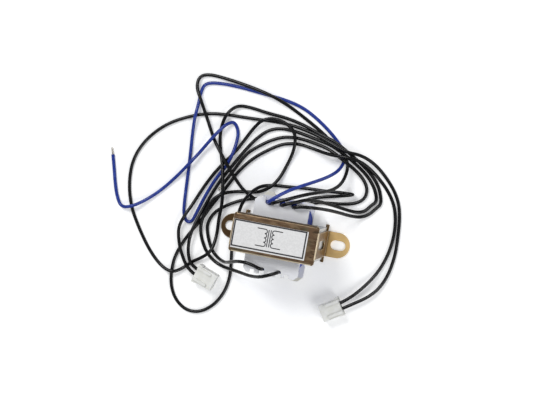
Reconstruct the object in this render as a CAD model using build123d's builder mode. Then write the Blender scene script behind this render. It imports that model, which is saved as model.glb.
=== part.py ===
# A small mains transformer: a laminated core and bobbin in a folded bracket, with six flying leads.
# Millimetres. +X runs along the feet, +Y to the far lead slots, +Z up. The feet stand on z = 0.
import math
import os

from build123d import *

os.makedirs("parts", exist_ok=True)

# Core: EI sheets stood on edge, the stack running along Y
core_width = 35.0
core_height = 29.5
leg_width = 5.0
tongue_width = 9.6
stack_depth = 14.0
sheet_count = 28
varnish_gap = 0.04

# Bracket: one folded sheet
sheet = 0.8
core_fit = 0.15
cheek_gap = 0.45
cheek_drop = 3.6
cheek_setback = 1.5
corner_setback = 0.3
strap_width = 11.0
foot_length = 10.1
foot_flat = 0.04
slot_pitch = 46.9
slot_width = 4.1
slot_length = 6.5
window_width = 4.0
window_length = 18.0
window_floor = 8.5
shoulder_rise = 0.6
shoulder_reach = 1.2
claw_length = 1.6
claw_relief = 0.5

# Bobbin
tongue_fit = 0.2
tube_wall = 0.9
tube_corner = 0.8
flange_sheet = 1.2
flange_fit = 0.8
bobbin_headroom = 0.4
flange_overhang = 9.1
flange_chamfer = 1.6
lead_slot_depth = 3.0
lead_slot_corner = 1.1
notch_gap = 2.0
notch_depth = 1.5
far_lead_slots = ((-5.15, 4.0), (0.0, 2.3), (5.0, 2.3))
near_lead_slots = ((-3.7, 2.3), (3.4, 2.3))
near_notches = (-7.9, -0.2, 6.9)
tab_reach = 1.9
tab_width = 6.6
tab_tip = 2.4
tab_inset = 3.4

# Windings: they fill the flange's width up to a fit, and the primary takes its share of the wire.
# Then how much fuller they are on the coil's two open sides, and how much of that lies on the side
# with more leads
coil_fit = 0.2
primary_share = 4 / 7
barrier_build = 0.25
tape_build = 0.45
margin_tape = 1.5
coil_bulge = 1.24
coil_lean = 0.1

# Label
label_length = 31.5
label_width = 12.0
label_sheet = 0.1
label_margin_x = 0.9
label_margin_y = 1.65

# Leads and their two-way housings
lead_diameter = 1.5
lead_spacing = 1.7
lead_slot_fit = 0.1
lead_rise = 3.7
blue_rise = 5.7
bend_share = 0.45
lead_sides = 6
strand_diameter = 0.9
strand_length = 3.2
housing_length = 9.2
housing_width = 7.4
housing_height = 5.75
cavity = 2.1
cavity_pitch = 2.5
pin_hole = 1.0
front_wall = 0.8
lip_length = 1.6
lip_reach = 0.45
rib_width = 1.2
rib_height = 0.7
rib_length = 5.0
contact_fit = 0.1
contact_length = 5.4
contact_wall = 0.3
contact_root = 1.2
lead_depth = 2.2
lead_tail = 3.6

# Where the housings lie: middle of the rear edge on the floor, and heading in degrees
left_plug = (-35.2, -22.8, -19.0)
right_plug = (29.7, -25.0, 213.0)

# Lead routes: points chosen by eye, from above the flange to the last one before the end
blue_lead_route = (
    (0.5, 19.5, 29), (5.8, 22.8, 26), (10.9, 25.7, 20), (15.4, 28.6, 12.5), (18.6, 31.8, 6),
    (19.8, 35.9, 1.4), (18.9, 40.4, 0.8), (13.1, 46.3, 0.8), (5.5, 51.8, 0.8), (-2.1, 55.9, 0.8),
    (-10.9, 57.9, 0.8), (-20.9, 58.8, 0.8), (-30.9, 59.9, 0.8), (-39.9, 60.1, 0.8), (-46.5, 59, 0.8),
    (-47.6, 54.4, 0.8), (-47.5, 49.5, 1.8), (-47.8, 44.3, 3), (-48.1, 37.9, 1.1), (-47.6, 30, 0.8),
    (-47.1, 22.1, 0.8), (-46.7, 13.3, 0.8), (-46.3, 5.8, 0.8), (-45.8, 1.3, 0.8), (-44.1, -2, 0.8),
    (-41.5, -1.7, 0.8), (-40.1, 2.9, 0.8), (-37.5, 11.3, 0.8), (-34, 19.7, 0.8), (-30.5, 25.4, 0.9),
    (-28.7, 29.9, 3.4), (-28, 34.8, 1.8), (-27.9, 40.6, 0.8), (-30.6, 44.8, 0.8), (-33.6, 43.1, 2.4),
    (-36.3, 39.4, 3.4), (-39, 35.4, 3.4), (-42.9, 29.3, 2), (-46.4, 23.7, 3.3), (-51.5, 16.9, 1.2),
    (-57.6, 9.4, 0.8), (-63.7, 3.8, 1.4), (-68.8, 0.2, 3.4), (-73.9, -1, 1.2), (-76.6, 3.2, 0.8),
    (-78.5, 8.9, 0.8), (-80.1, 15.3, 0.8), (-81.7, 21.1, 0.8),
)
black_lead_route = (
    (-0.5, 15.7, 27.6), (4.4, 17.9, 27.6), (9.5, 20.3, 25), (14.5, 22, 20), (18.4, 23.5, 14),
    (21.1, 26.6, 8.6), (22, 31.1, 4.6), (21.7, 35.4, 2.7), (19.5, 38.9, 2.8), (14.8, 41.7, 1.7),
    (8.4, 46.7, 0.8), (-5.3, 54.2, 1.4), (-12.9, 57.5, 3), (-20.6, 59.7, 3), (-29.3, 61.3, 1.4),
    (-37.7, 62.5, 0.8), (-45, 63.1, 0.8), (-49.4, 61.6, 0.8), (-49.7, 56.8, 2), (-46.9, 52.2, 3.3),
    (-42.8, 44.8, 2.8), (-40.5, 39.7, 0.8), (-38.1, 35.5, 1), (-35.5, 32.4, 2.7), (-30.8, 26.6, 3.3),
    (-24.6, 19.4, 2.8), (-20.5, 15.7, 2.8), (-12.1, 11.7, 2.2), (-6.4, 11, 0.8), (0.2, 11.6, 0.8),
    (9.9, 16.4, 0.8), (15.9, 17.3, 0.8), (22.4, 17.9, 0.8), (28.3, 19.4, 0.8), (31.5, 22.4, 0.8),
    (31.6, 26.5, 1.2), (29.3, 30.3, 2.6), (25, 33.7, 4.7), (19.6, 36.6, 4.9), (12.9, 40.1, 2.5),
    (5.4, 41.7, 1.2), (-1.5, 42.6, 0.8), (-7.6, 42.1, 0.8), (-13, 39.8, 0.8), (-18.1, 36.2, 0.8),
    (-22.4, 32.5, 0.8), (-24.9, 28.4, 0.8), (-27.1, 24, 0.8), (-29.2, 20.1, 0.8), (-30.9, 16.9, 0.8),
)
left_lead_a_route = (
    (5.9, 16.3, 27), (10.2, 18.3, 23.8), (14.9, 17.9, 17), (19.4, 17.1, 10.4), (24.1, 16.1, 5),
    (28.7, 15.5, 1.6), (32.3, 16.6, 0.8), (34.4, 19.6, 0.8), (36.4, 21.5, 0.8), (35.7, 24.7, 0.8),
    (33.7, 28.4, 1.2), (30.6, 32, 2.8), (25.7, 35.6, 4), (20, 39, 4.6), (13.1, 42.1, 3.6),
    (6.5, 43.3, 1.6), (-1, 44.8, 0.8), (-6.4, 45.4, 0.8), (-11.5, 45.1, 0.8), (-15.8, 43.2, 0.8),
    (-19.6, 39.4, 0.8), (-22.8, 34.9, 0.8), (-25.6, 30.3, 0.8), (-28.3, 25.5, 0.8), (-31.5, 19.9, 0.8),
    (-34.5, 13.3, 0.8), (-37, 6.4, 0.8), (-38.9, 0.4, 1.9), (-40.5, -5.2, 3.2), (-41, -10.4, 2.7),
    (-40.5, -15.2, 2.6),
)
left_lead_b_route = (
    (-0.1, -15.7, 27.6), (-4.1, -17.4, 25.6), (-9, -18.3, 19), (-14.6, -18.4, 11), (-20, -18.4, 5),
    (-24.5, -18.2, 1.8), (-28.6, -16.8, 0.8), (-32.3, -14, 0.8), (-34.9, -10.2, 0.8),
    (-36.9, -5.7, 0.8), (-37.1, -1.1, 2.5), (-36.3, 3.3, 2.7), (-34.9, 7.4, 2.7), (-32.7, 11.1, 2.8),
    (-29.2, 13.5, 2.4), (-24.6, 15, 0.8), (-19.6, 15.7, 0.8), (-14.3, 16.5, 0.8), (-9.4, 19.6, 3.2),
    (-6.6, 24, 1.6), (-4.8, 29.3, 0.8), (-3.1, 34.7, 1.2), (-2.2, 40.1, 3.3), (-3.5, 45.1, 3.3),
    (-7.9, 48.1, 2.9), (-13.4, 49.1, 2.7), (-18.2, 47.7, 3.3), (-21.8, 43.4, 1.2), (-24.7, 37.9, 0.8),
    (-27.9, 31.8, 0.8), (-32.8, 25.4, 0.8), (-36.7, 19.1, 0.8), (-39.9, 12.4, 0.8), (-42.5, 5.9, 1.4),
    (-44.8, 0.6, 3.2), (-46.8, -4.7, 2), (-45.7, -9.7, 2.9), (-44, -14.8, 2.4),
)
right_lead_a_route = (
    (8.7, 14.9, 27.4), (13.2, 15.3, 26.6), (17.9, 15.3, 20.5), (22.6, 14.6, 12), (27.2, 13.7, 5),
    (31.1, 13.8, 1.3), (34.4, 15.7, 0.8), (36.7, 18.7, 0.8), (38.5, 20.8, 0.8), (37.8, 24.4, 0.8),
    (35.8, 28.8, 1.2), (32, 33.1, 2.8), (26.7, 37, 3.9), (20.8, 40.5, 4.6), (14.5, 43.9, 3.7),
    (7.5, 45.8, 2.4), (-0.3, 48.5, 1), (-8.2, 50.2, 0.8), (-16.7, 50.8, 0.8), (-24.5, 52, 0.8),
    (-30.5, 51.9, 1.2), (-33.9, 48.1, 3.2), (-35.9, 42.7, 1), (-35.8, 36.6, 0.8), (-34.3, 30.7, 0.8),
    (-32.1, 25.3, 2.8), (-29.5, 14.1, 4.9), (-29.2, 8, 3.5), (-29.9, 1.8, 1.4), (-29.6, -4.4, 0.8),
    (-29.8, -9.7, 2.4), (-30.9, -13.1, 3.4), (-34.1, -16, 2.2), (-38.4, -18.7, 0.8),
    (-42.1, -22.5, 0.8), (-46.1, -24.9, 3.1), (-51.8, -23, 1.4), (-58.1, -17.3, 0.8),
    (-64.4, -8.7, 0.8), (-69.7, 0.2, 0.8), (-72.5, 10.4, 0.8), (-72.5, 20.9, 0.8), (-68.2, 30.4, 0.8),
    (-60.5, 38.4, 0.8), (-51.4, 43.3, 0.8), (-43.1, 46.2, 0.8), (-34.4, 47.2, 0.8), (-25.9, 47.2, 0.8),
    (-10.9, 47.9, 0.8), (-2.7, 47.2, 1.2), (5.9, 45.4, 3.6), (13.3, 42.8, 5.8), (20.5, 40.2, 6.9),
    (26.9, 40.2, 6.4), (33.6, 37.3, 3.8), (40.1, 31.3, 1), (44.8, 25.2, 0.8), (47.2, 18.7, 0.8),
    (48.2, 9.3, 0.8), (48.4, -1.1, 0.8), (46.3, -11.1, 1), (41.8, -18.2, 2.2),
)
right_lead_b_route = (
    (-7.3, -12.7, 27.6), (-11, -12.2, 27.2), (-14.6, -12.6, 25), (-18.6, -14.1, 17.5),
    (-22.3, -15.6, 9.5), (-26.7, -15, 3), (-31.1, -11.8, 0.8), (-34.6, -3.5, 0.8), (-34.1, 1, 0.8),
    (-31.8, 5, 0.8), (-28.3, 7.8, 0.8), (-23.6, 10.7, 0.8), (-18.6, 12.8, 0.8), (-12.8, 14, 0.8),
    (-6.5, 13.6, 0.8), (-0.2, 13.8, 0.8), (4.7, 15.9, 0.8), (9.1, 18.3, 0.8), (14, 19.6, 0.8),
    (18.6, 20.7, 0.8), (22.4, 21.7, 0.8), (26.1, 22.7, 0.8), (26, 23, 4.6), (22.4, 22.9, 4.4),
    (18.6, 22.6, 3.6), (13, 22.1, 2.2), (6.3, 21.9, 0.8), (-1.6, 21.1, 0.8), (-8.6, 20.6, 0.8),
    (-13.8, 19.5, 0.8), (-16.7, 16.8, 4.6), (-19.2, 13.1, 5), (-21.1, 8.9, 3), (-21.7, 3.4, 2.2),
    (-21.8, -2.9, 2.1), (-22, -9.1, 1.7), (-21.2, -15.9, 0.8), (-20.6, -21.8, 0.8), (-21.7, -28.8, 0.8),
    (-25.2, -35.3, 0.8), (-30.8, -39.8, 0.8), (-37, -40.3, 0.8), (-42.4, -36.9, 0.8),
    (-45.7, -31.3, 0.8), (-46.8, -25, 0.8), (-46.5, -18.2, 0.8), (-44.2, -11.6, 0.8), (-41, -5.4, 0.8),
    (-37.3, 0.4, 0.8), (-34.5, 6.5, 0.8), (-28.2, 17.6, 0.8), (-25.4, 23.4, 0.8), (-19.8, 30.6, 0.8),
    (-11.9, 36.6, 0.8), (-7.1, 39.2, 0.8), (-1, 40.2, 0.8), (5.9, 39.1, 1.4), (13.1, 37.9, 4.7),
    (19.7, 38.1, 6.9), (25.8, 37.9, 6.6), (31.4, 35.3, 4.2), (37.5, 30.2, 1.2), (42.4, 24.6, 0.8),
    (45.2, 18.8, 0.8), (46.5, 10.8, 0.8), (45.8, 1.5, 0.8), (43, -7.1, 1), (38.7, -14.2, 2.2),
)

# Places worked out from the sizes above
core_floor = sheet
core_top = core_floor + core_height
plate_top = core_top + sheet
strap_inside = core_width / 2 + core_fit
strap_x = strap_inside + sheet
cheek_inside = stack_depth / 2 + cheek_gap
plate_y = cheek_inside + sheet
foot_end = strap_x + foot_length
pitch = stack_depth / sheet_count
window_height = core_height - 2 * leg_width
window_span = (core_width - tongue_width) / 2 - leg_width
bobbin_floor = core_floor + leg_width
bobbin_top = bobbin_floor + window_height - bobbin_headroom
coil_floor = bobbin_floor + flange_sheet
coil_top = bobbin_top - flange_sheet
flange_x = core_width / 2 - leg_width - flange_fit
flange_y = stack_depth / 2 + flange_overhang
bore_x = tongue_width / 2 + tongue_fit
bore_y = stack_depth / 2 + tongue_fit
tube_x = bore_x + tube_wall
tube_y = bore_y + tube_wall
coil_depth = flange_x - coil_fit - tube_x
tape_depth = coil_depth - tape_build
wire_depth = tape_depth - barrier_build
primary_build = primary_share * wire_depth
secondary_build = (wire_depth - primary_build) / 2
secondaries_depth = primary_build + barrier_build
tab_place = flange_x - tab_inset


# Core: each sheet is an E and an I, and every second pair is turned over
def sheet_plane(index, height, turned=False):
    y = -stack_depth / 2 + index * pitch
    return Plane(origin=(0, y, height), x_dir=(1 if turned else -1, 0, 0), z_dir=(0, 1, 0))


even = range(0, sheet_count, 2)
odd = range(1, sheet_count, 2)

with BuildPart() as e_laminations:
    upright = [sheet_plane(index, core_floor) for index in even]
    turned = [sheet_plane(index, core_top, turned=True) for index in odd]
    with BuildSketch(*upright, *turned):
        Rectangle(core_width, core_height - leg_width, align=(Align.CENTER, Align.MIN))
        window_x = (tongue_width + window_span) / 2
        with Locations((-window_x, leg_width), (window_x, leg_width)):
            Rectangle(
                window_span, window_height, align=(Align.CENTER, Align.MIN), mode=Mode.SUBTRACT
            )
    extrude(amount=pitch - varnish_gap)

with BuildPart() as i_laminations:
    closing_top = [sheet_plane(index, core_top - leg_width) for index in even]
    closing_floor = [sheet_plane(index, core_floor) for index in odd]
    with BuildSketch(*closing_top, *closing_floor):
        Rectangle(core_width, leg_width, align=(Align.CENTER, Align.MIN))
    extrude(amount=pitch - varnish_gap)


# Bracket: a strap folded over the core, with a wider plate, cheeks, shoulders and claws
inner_bend = core_fit
outer_bend = core_fit + sheet
claw_inner = strap_width / 2 + claw_relief
claw_outer = stack_depth / 2 + shoulder_reach
shoulder_floor = sheet + outer_bend

with BuildPart() as mounting_bracket:
    with BuildSketch(Plane.XZ):
        with BuildLine():
            FilletPolyline(
                (foot_end, 0),
                (strap_inside, 0),
                (strap_inside, core_top),
                (-strap_inside, core_top),
                (-strap_inside, 0),
                (-foot_end, 0),
                radius=[outer_bend, inner_bend, inner_bend, outer_bend],
            )
            offset(amount=sheet, side=Side.RIGHT)
        make_face()
    extrude(amount=strap_width / 2, both=True)
    foot_corners = mounting_bracket.edges().filter_by(Axis.Z).sort_by(Axis.X)
    fillet(foot_corners[:2] + foot_corners[-2:], radius=(strap_width - foot_flat) / 2)

    with BuildSketch(Plane.YZ):
        with BuildLine():
            FilletPolyline(
                (cheek_inside, plate_top - cheek_drop),
                (cheek_inside, core_top),
                (-cheek_inside, core_top),
                (-cheek_inside, plate_top - cheek_drop),
                radius=inner_bend,
            )
            offset(amount=sheet, side=Side.RIGHT)
        make_face()
    extrude(amount=strap_x - cheek_setback, both=True)

    with BuildSketch(Plane.XY.offset(core_top)) as plate_corners:
        Rectangle(2 * (strap_x - corner_setback), 2 * plate_y)
        fillet(plate_corners.vertices(), radius=cheek_setback - corner_setback)
        Rectangle(2 * (strap_x - cheek_setback), 2 * plate_y, mode=Mode.SUBTRACT)
        Rectangle(2 * strap_x, strap_width, mode=Mode.SUBTRACT)
    extrude(amount=sheet)

    with BuildSketch(Plane.YZ.offset(strap_inside), Plane.YZ.offset(-strap_x)):
        with Locations((0, shoulder_floor)):
            Rectangle(2 * claw_outer, shoulder_rise, align=(Align.CENTER, Align.MIN))
    extrude(amount=sheet)
    for side in (1, -1):
        with BuildSketch(Plane.XZ.offset(-side * claw_inner)):
            with BuildLine():
                FilletPolyline(
                    (strap_x - claw_length, sheet),
                    (strap_inside, sheet),
                    (strap_inside, shoulder_floor),
                    radius=inner_bend,
                )
                offset(amount=sheet, side=Side.RIGHT)
            make_face()
            mirror(about=Plane.YZ)
        extrude(amount=-side * (claw_outer - claw_inner))

    with BuildSketch():
        with GridLocations(slot_pitch, 0, 2, 1):
            SlotOverall(slot_length, slot_width)
    extrude(amount=sheet, mode=Mode.SUBTRACT)
    with BuildSketch(Plane.YZ):
        with Locations((0, window_floor + window_length / 2)):
            SlotOverall(window_length, window_width, rotation=90)
    extrude(amount=strap_x, both=True, mode=Mode.SUBTRACT)


# Bobbin: a square tube with two flanges, the upper one slotted for the leads
with BuildPart() as bobbin:
    with BuildSketch(Plane.XY.offset(bobbin_floor)):
        RectangleRounded(2 * tube_x, 2 * tube_y, tube_corner)
    extrude(amount=bobbin_top - bobbin_floor)
    with BuildSketch(Plane.XY.offset(bobbin_floor)):
        RectangleRounded(2 * flange_x, 2 * flange_y, flange_chamfer)
        with PolarLocations(0, 2, start_angle=0):
            Polygon(
                (tab_place - tab_width / 2, flange_chamfer - flange_y),
                (tab_place + tab_width / 2, flange_chamfer - flange_y),
                (tab_place + tab_width / 2, -flange_y),
                (tab_place + tab_tip / 2, -flange_y - tab_reach),
                (tab_place - tab_tip / 2, -flange_y - tab_reach),
                (tab_place - tab_width / 2, -flange_y),
                align=None,
            )
    extrude(amount=flange_sheet)
    with BuildSketch(Plane.XY.offset(coil_top)) as upper_flange:
        Rectangle(2 * flange_x, 2 * flange_y)
        chamfer(upper_flange.vertices(), length=flange_chamfer)
        for slots, edge in ((far_lead_slots, flange_y), (near_lead_slots, -flange_y)):
            for x, gap in slots:
                with Locations((x, edge)):
                    RectangleRounded(
                        gap, 2 * lead_slot_depth, lead_slot_corner, mode=Mode.SUBTRACT
                    )
        with Locations(*[(x, -flange_y) for x in near_notches]):
            Rectangle(notch_gap, 2 * notch_depth, mode=Mode.SUBTRACT)
    extrude(amount=flange_sheet)
    with BuildSketch(Plane.XY.offset(bobbin_floor)):
        Rectangle(2 * bore_x, 2 * bore_y)
    extrude(amount=bobbin_top - bobbin_floor, mode=Mode.SUBTRACT)


# Windings and tapes: close rings, each lying on the one inside it
def coil_outline(depth, mode=Mode.ADD):
    width = 2 * (tube_x + depth)
    length = 2 * (tube_y + coil_bulge * depth)
    with Locations((0, coil_lean * depth)):
        RectangleRounded(width, length, tube_corner + coil_bulge * depth, mode=mode)


def ring(inside, build, margin):
    with BuildPart() as layer:
        with BuildSketch(Plane.XY.offset(coil_floor + margin)):
            coil_outline(inside + build)
            coil_outline(inside, mode=Mode.SUBTRACT)
        extrude(amount=coil_top - coil_floor - 2 * margin)
    return layer.part


windings = {
    "primary_winding": ring(0, primary_build, 0),
    "barrier_tape": ring(primary_build, barrier_build, 0),
    "secondary_winding_a": ring(secondaries_depth, secondary_build, margin_tape),
    "secondary_winding_b": ring(tape_depth - secondary_build, secondary_build, margin_tape),
}

# The outer tape also fills the margins above and below the two secondaries
with BuildPart() as outer_tape:
    with BuildSketch(Plane.XY.offset(coil_floor)):
        coil_outline(coil_depth)
        coil_outline(secondaries_depth, mode=Mode.SUBTRACT)
    extrude(amount=coil_top - coil_floor)
    with BuildSketch(Plane.XY.offset(coil_floor + margin_tape)):
        coil_outline(tape_depth)
    extrude(amount=coil_top - coil_floor - 2 * margin_tape, mode=Mode.SUBTRACT)

with BuildPart() as rating_label:
    label_x = -strap_x + label_margin_x + label_length / 2
    label_y = -plate_y + label_margin_y + label_width / 2
    with BuildSketch(Plane.XY.offset(plate_top)):
        with Locations((label_x, label_y)):
            Rectangle(label_length, label_width)
    extrude(amount=label_sheet)


# Two-way housings and their contacts, seen from behind: x to the left, y up, z forward
def plug_plane(plug, forward=0.0):
    x, y, heading = plug
    ahead = Vector(1, 0, 0).rotate(Axis.Z, heading)
    return Plane(
        origin=Vector(x, y, 0) + ahead * forward,
        x_dir=Vector(0, 1, 0).rotate(Axis.Z, heading),
        z_dir=ahead,
    )


wire_height = housing_height / 2
contact_size = cavity - 2 * contact_fit


def plug_housing(plug):
    with BuildPart() as housing:
        with BuildSketch(plug_plane(plug)):
            Rectangle(housing_width, housing_height, align=(Align.CENTER, Align.MIN))
        extrude(amount=housing_length)
        with BuildSketch(plug_plane(plug)):
            Rectangle(housing_width + 2 * lip_reach, housing_height, align=(Align.CENTER, Align.MIN))
        extrude(amount=lip_length)
        with BuildSketch(plug_plane(plug)):
            with Locations((0, housing_height)):
                with GridLocations(2 * cavity_pitch, 0, 2, 1):
                    Rectangle(rib_width, 2 * rib_height)
        extrude(amount=lip_length + rib_length)
        with BuildSketch(plug_plane(plug)):
            with Locations((0, wire_height)):
                with GridLocations(cavity_pitch, 0, 2, 1):
                    Rectangle(cavity, cavity)
        extrude(amount=housing_length - front_wall, mode=Mode.SUBTRACT)
        with BuildSketch(plug_plane(plug, housing_length)):
            with Locations((0, wire_height)):
                with GridLocations(cavity_pitch, 0, 2, 1):
                    Rectangle(pin_hole, pin_hole)
        extrude(amount=-2 * front_wall, mode=Mode.SUBTRACT)
    return housing.part


def plug_contacts(plug):
    with BuildPart() as contacts:
        with BuildSketch(plug_plane(plug, lead_depth)):
            with Locations((0, wire_height)):
                with GridLocations(cavity_pitch, 0, 2, 1):
                    Rectangle(contact_size, contact_size)
        extrude(amount=contact_length)
        with BuildSketch(plug_plane(plug, lead_depth + contact_root)):
            with Locations((0, wire_height)):
                with GridLocations(cavity_pitch, 0, 2, 1):
                    Rectangle(contact_size - 2 * contact_wall, contact_size - 2 * contact_wall)
        extrude(amount=contact_length, mode=Mode.SUBTRACT)
    return contacts.part


# Leads: each leaves the winding through a slot, follows its route and ends bare or in a housing.
# Their round section is drawn with a few flats, because the six leads have some three hundred bends.
lead_y = flange_y - lead_slot_depth + lead_slot_fit + lead_diameter / 2


def lead_exit(x, side, rise):
    foot = Vector(x, side * lead_y, coil_top)
    return [foot, foot + Vector(0, 0, rise)]


def plug_entry(plug, side):
    place = Vector(side * cavity_pitch / 2, wire_height)
    return [plug_plane(plug, ahead).from_local_coords(place) for ahead in (-lead_tail, lead_depth)]


def lead(name, points):
    points = [Vector(*point) for point in points]
    runs = [after - before for before, after in zip(points, points[1:])]
    bends = []
    for before, after in zip(runs, runs[1:]):
        turn = math.radians(before.get_angle(after))
        bends.append(bend_share * min(before.length, after.length) / math.tan(turn / 2))
    with BuildPart() as insulation:
        with BuildLine() as route:
            FilletPolyline(*points, radius=bends)
        with BuildSketch(Plane(origin=points[0], z_dir=runs[0])) as section:
            RegularPolygon(lead_diameter / 2, lead_sides)
        sweep()
    length = route.wire().length
    share = insulation.part.volume / (section.sketch.area * length)
    print(name, "length", round(length, 1), "volume over section times length", round(share, 4))
    print("    radii", *[round(bend, 1) for bend in bends])
    return insulation.part, points[-1], runs[-1].normalized()


def bare_tip(end, direction):
    with BuildPart() as strands:
        with BuildSketch(Plane(origin=end, z_dir=direction)):
            Circle(strand_diameter / 2)
        extrude(amount=strand_length)
    return strands.part


wide_slot, middle_slot, right_slot = [x for x, gap in far_lead_slots]
near_left_slot, near_right_slot = [x for x, gap in near_lead_slots]
blue_x = wide_slot - lead_spacing / 2
black_x = wide_slot + lead_spacing / 2
blue_lead, blue_end, blue_way = lead(
    "mains_lead_blue", [*lead_exit(blue_x, 1, blue_rise), *blue_lead_route]
)
black_lead, black_end, black_way = lead(
    "mains_lead_black", [*lead_exit(black_x, 1, lead_rise), *black_lead_route]
)
plug_leads = {}
for name, x, side, route, plug, cavity_side in (
    ("left_lead_a", middle_slot, 1, left_lead_a_route, left_plug, 1),
    ("left_lead_b", near_right_slot, -1, left_lead_b_route, left_plug, -1),
    ("right_lead_a", right_slot, 1, right_lead_a_route, right_plug, 1),
    ("right_lead_b", near_left_slot, -1, right_lead_b_route, right_plug, -1),
):
    points = [*lead_exit(x, side, lead_rise), *route, *plug_entry(plug, cavity_side)]
    plug_leads[name], end, way = lead(name, points)


pieces = {
    "e_laminations": e_laminations.part,
    "i_laminations": i_laminations.part,
    "mounting_bracket": mounting_bracket.part,
    "bobbin": bobbin.part,
    **windings,
    "outer_tape": outer_tape.part,
    "rating_label": rating_label.part,
    "left_plug_housing": plug_housing(left_plug),
    "left_plug_contacts": plug_contacts(left_plug),
    "right_plug_housing": plug_housing(right_plug),
    "right_plug_contacts": plug_contacts(right_plug),
    "mains_lead_blue": blue_lead,
    "mains_lead_black": black_lead,
    **plug_leads,
    "blue_lead_tip": bare_tip(blue_end, blue_way),
    "black_lead_tip": bare_tip(black_end, black_way),
}
for name, piece in pieces.items():
    piece.label = name
    export_step(piece, f"parts/{name}.step")
    print(name, "solids", len(piece.solids()), "volume", round(piece.volume, 1))
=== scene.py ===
# %% [markdown]
# # A small mains transformer with loose flying leads
# The real object is a laminated steel core with a wound bobbin on it, clamped by one folded
# bracket, with six thin leads lying in loose loops around it. The hard pieces were modelled as
# solids and packed, and they are loaded here as a fixed frame in metres that nothing below moves.
# What is left for this notebook is what solids can't show: the finishes, the smooth lie of the
# leads, the bare strands and the label's print.

# %% The frame
import math

import bpy
import bmesh
from mathutils import Matrix, Quaternion, Vector


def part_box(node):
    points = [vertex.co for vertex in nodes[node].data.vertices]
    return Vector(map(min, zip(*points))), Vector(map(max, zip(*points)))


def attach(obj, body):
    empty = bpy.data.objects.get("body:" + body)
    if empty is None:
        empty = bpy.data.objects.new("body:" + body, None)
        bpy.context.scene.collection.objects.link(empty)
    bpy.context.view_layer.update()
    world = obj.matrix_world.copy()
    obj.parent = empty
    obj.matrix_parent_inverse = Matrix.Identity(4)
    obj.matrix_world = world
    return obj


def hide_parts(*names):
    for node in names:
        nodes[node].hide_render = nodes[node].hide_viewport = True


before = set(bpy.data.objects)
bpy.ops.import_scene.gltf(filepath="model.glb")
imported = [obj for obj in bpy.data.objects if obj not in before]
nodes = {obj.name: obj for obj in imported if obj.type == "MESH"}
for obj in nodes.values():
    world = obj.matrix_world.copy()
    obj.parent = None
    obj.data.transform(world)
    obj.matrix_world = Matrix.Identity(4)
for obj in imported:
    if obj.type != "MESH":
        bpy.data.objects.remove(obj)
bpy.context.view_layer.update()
MM = 0.001


def size_in_mm(low, high):
    return [round(side / MM, 1) for side in high - low]


# %% [markdown]
# ## The photograph's view
# The photograph looks almost straight down, a little from the right. A camera could be set by eye,
# but then the leads, which were traced from the picture, wouldn't land where the picture has them.
# So the camera's turn and place were solved from points that can be found both in the picture and
# on the solids, and the turn is kept as one rotation vector, which is shorter than a table of
# angles.

# %% Camera
VIEW_TURN = Vector((0.0336, -0.1576, -0.1799))
VIEW_PLACE = Vector((93.7864, 45.6174, 651.0)) * MM
FOCAL_PIXELS = 1520.77
IMAGE_WIDTH = 550
SENSOR_WIDTH = 36.0
NEAREST_SEEN = 10 * MM


def put(name, data):
    """A new object in the scene that shows this data."""
    made = bpy.data.objects.new(name, data)
    bpy.context.collection.objects.link(made)
    return made


def make_camera():
    lens = bpy.data.cameras.new("camera")
    lens.sensor_width = SENSOR_WIDTH
    lens.lens = FOCAL_PIXELS / IMAGE_WIDTH * SENSOR_WIDTH
    lens.clip_start = NEAREST_SEEN
    camera = put("camera", lens)
    world_to_view = Quaternion(VIEW_TURN.normalized(), VIEW_TURN.length)
    turn = world_to_view.inverted().to_matrix().to_4x4()
    camera.matrix_world = Matrix.Translation(VIEW_PLACE) @ turn
    bpy.context.scene.camera = camera
    return lens


lens = make_camera()
bpy.context.scene.view_settings.view_transform = "Standard"
print("lens", round(lens.lens, 1), "mm, camera", round(VIEW_PLACE.z / MM), "mm above the floor")

# %% [markdown]
# ## Sky and lamps
# A product like this is photographed in soft, even light. An image of a studio could light it, but
# a plain pale sky with two large round lamps gives the same soft edges from a few numbers. The key
# stands on the far left and the fill on the near right, so the folded sheet shows its bends. Both
# stay at a plain level, where a colour renders about as it is written.

# %% Sky and lamps
SKY = (0.93, 0.96, 1.0, 1.0)
SKY_STRENGTH = 0.36


def make_sky():
    world = bpy.data.worlds.new("studio")
    world.use_nodes = True
    background = world.node_tree.nodes["Background"]
    background.inputs["Color"].default_value = SKY
    background.inputs["Strength"].default_value = SKY_STRENGTH
    bpy.context.scene.world = world


def softbox(name, place, size, power):
    """A round lamp that points at the middle of the scene."""
    lamp = bpy.data.lights.new(name, "AREA")
    lamp.shape = "DISK"
    lamp.size = size
    lamp.energy = power
    light = put(name, lamp)
    light.location = place
    light.rotation_euler = (-Vector(place)).to_track_quat("-Z", "Y").to_euler()
    print(name, "lamp", power, "W at", round(Vector(place).length, 2), "m")


make_sky()
softbox("key", place=(-0.35, 0.45, 0.75), size=0.45, power=4.8)
softbox("fill", place=(0.6, -0.35, 0.6), size=0.5, power=3.2)

# %% [markdown]
# ## The paper it lies on
# The background is white paper. Turning the lamps up until the floor is white would bleach the
# object too. Instead the paper gives off a little light of its own, but only to rays that come
# straight from the camera, a mirror or a window: the object is lit as before, metal still shows a
# white floor, and the shadow stays.

# %% Floor paper
FLOOR_COLOUR = (0.93, 0.93, 0.93, 1.0)
FLOOR_ROUGHNESS = 0.9
FLOOR_SHINE = 0.1
GLOW_COLOUR = (1.0, 1.0, 1.0, 1.0)
FLOOR_GLOW = 0.26


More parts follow.
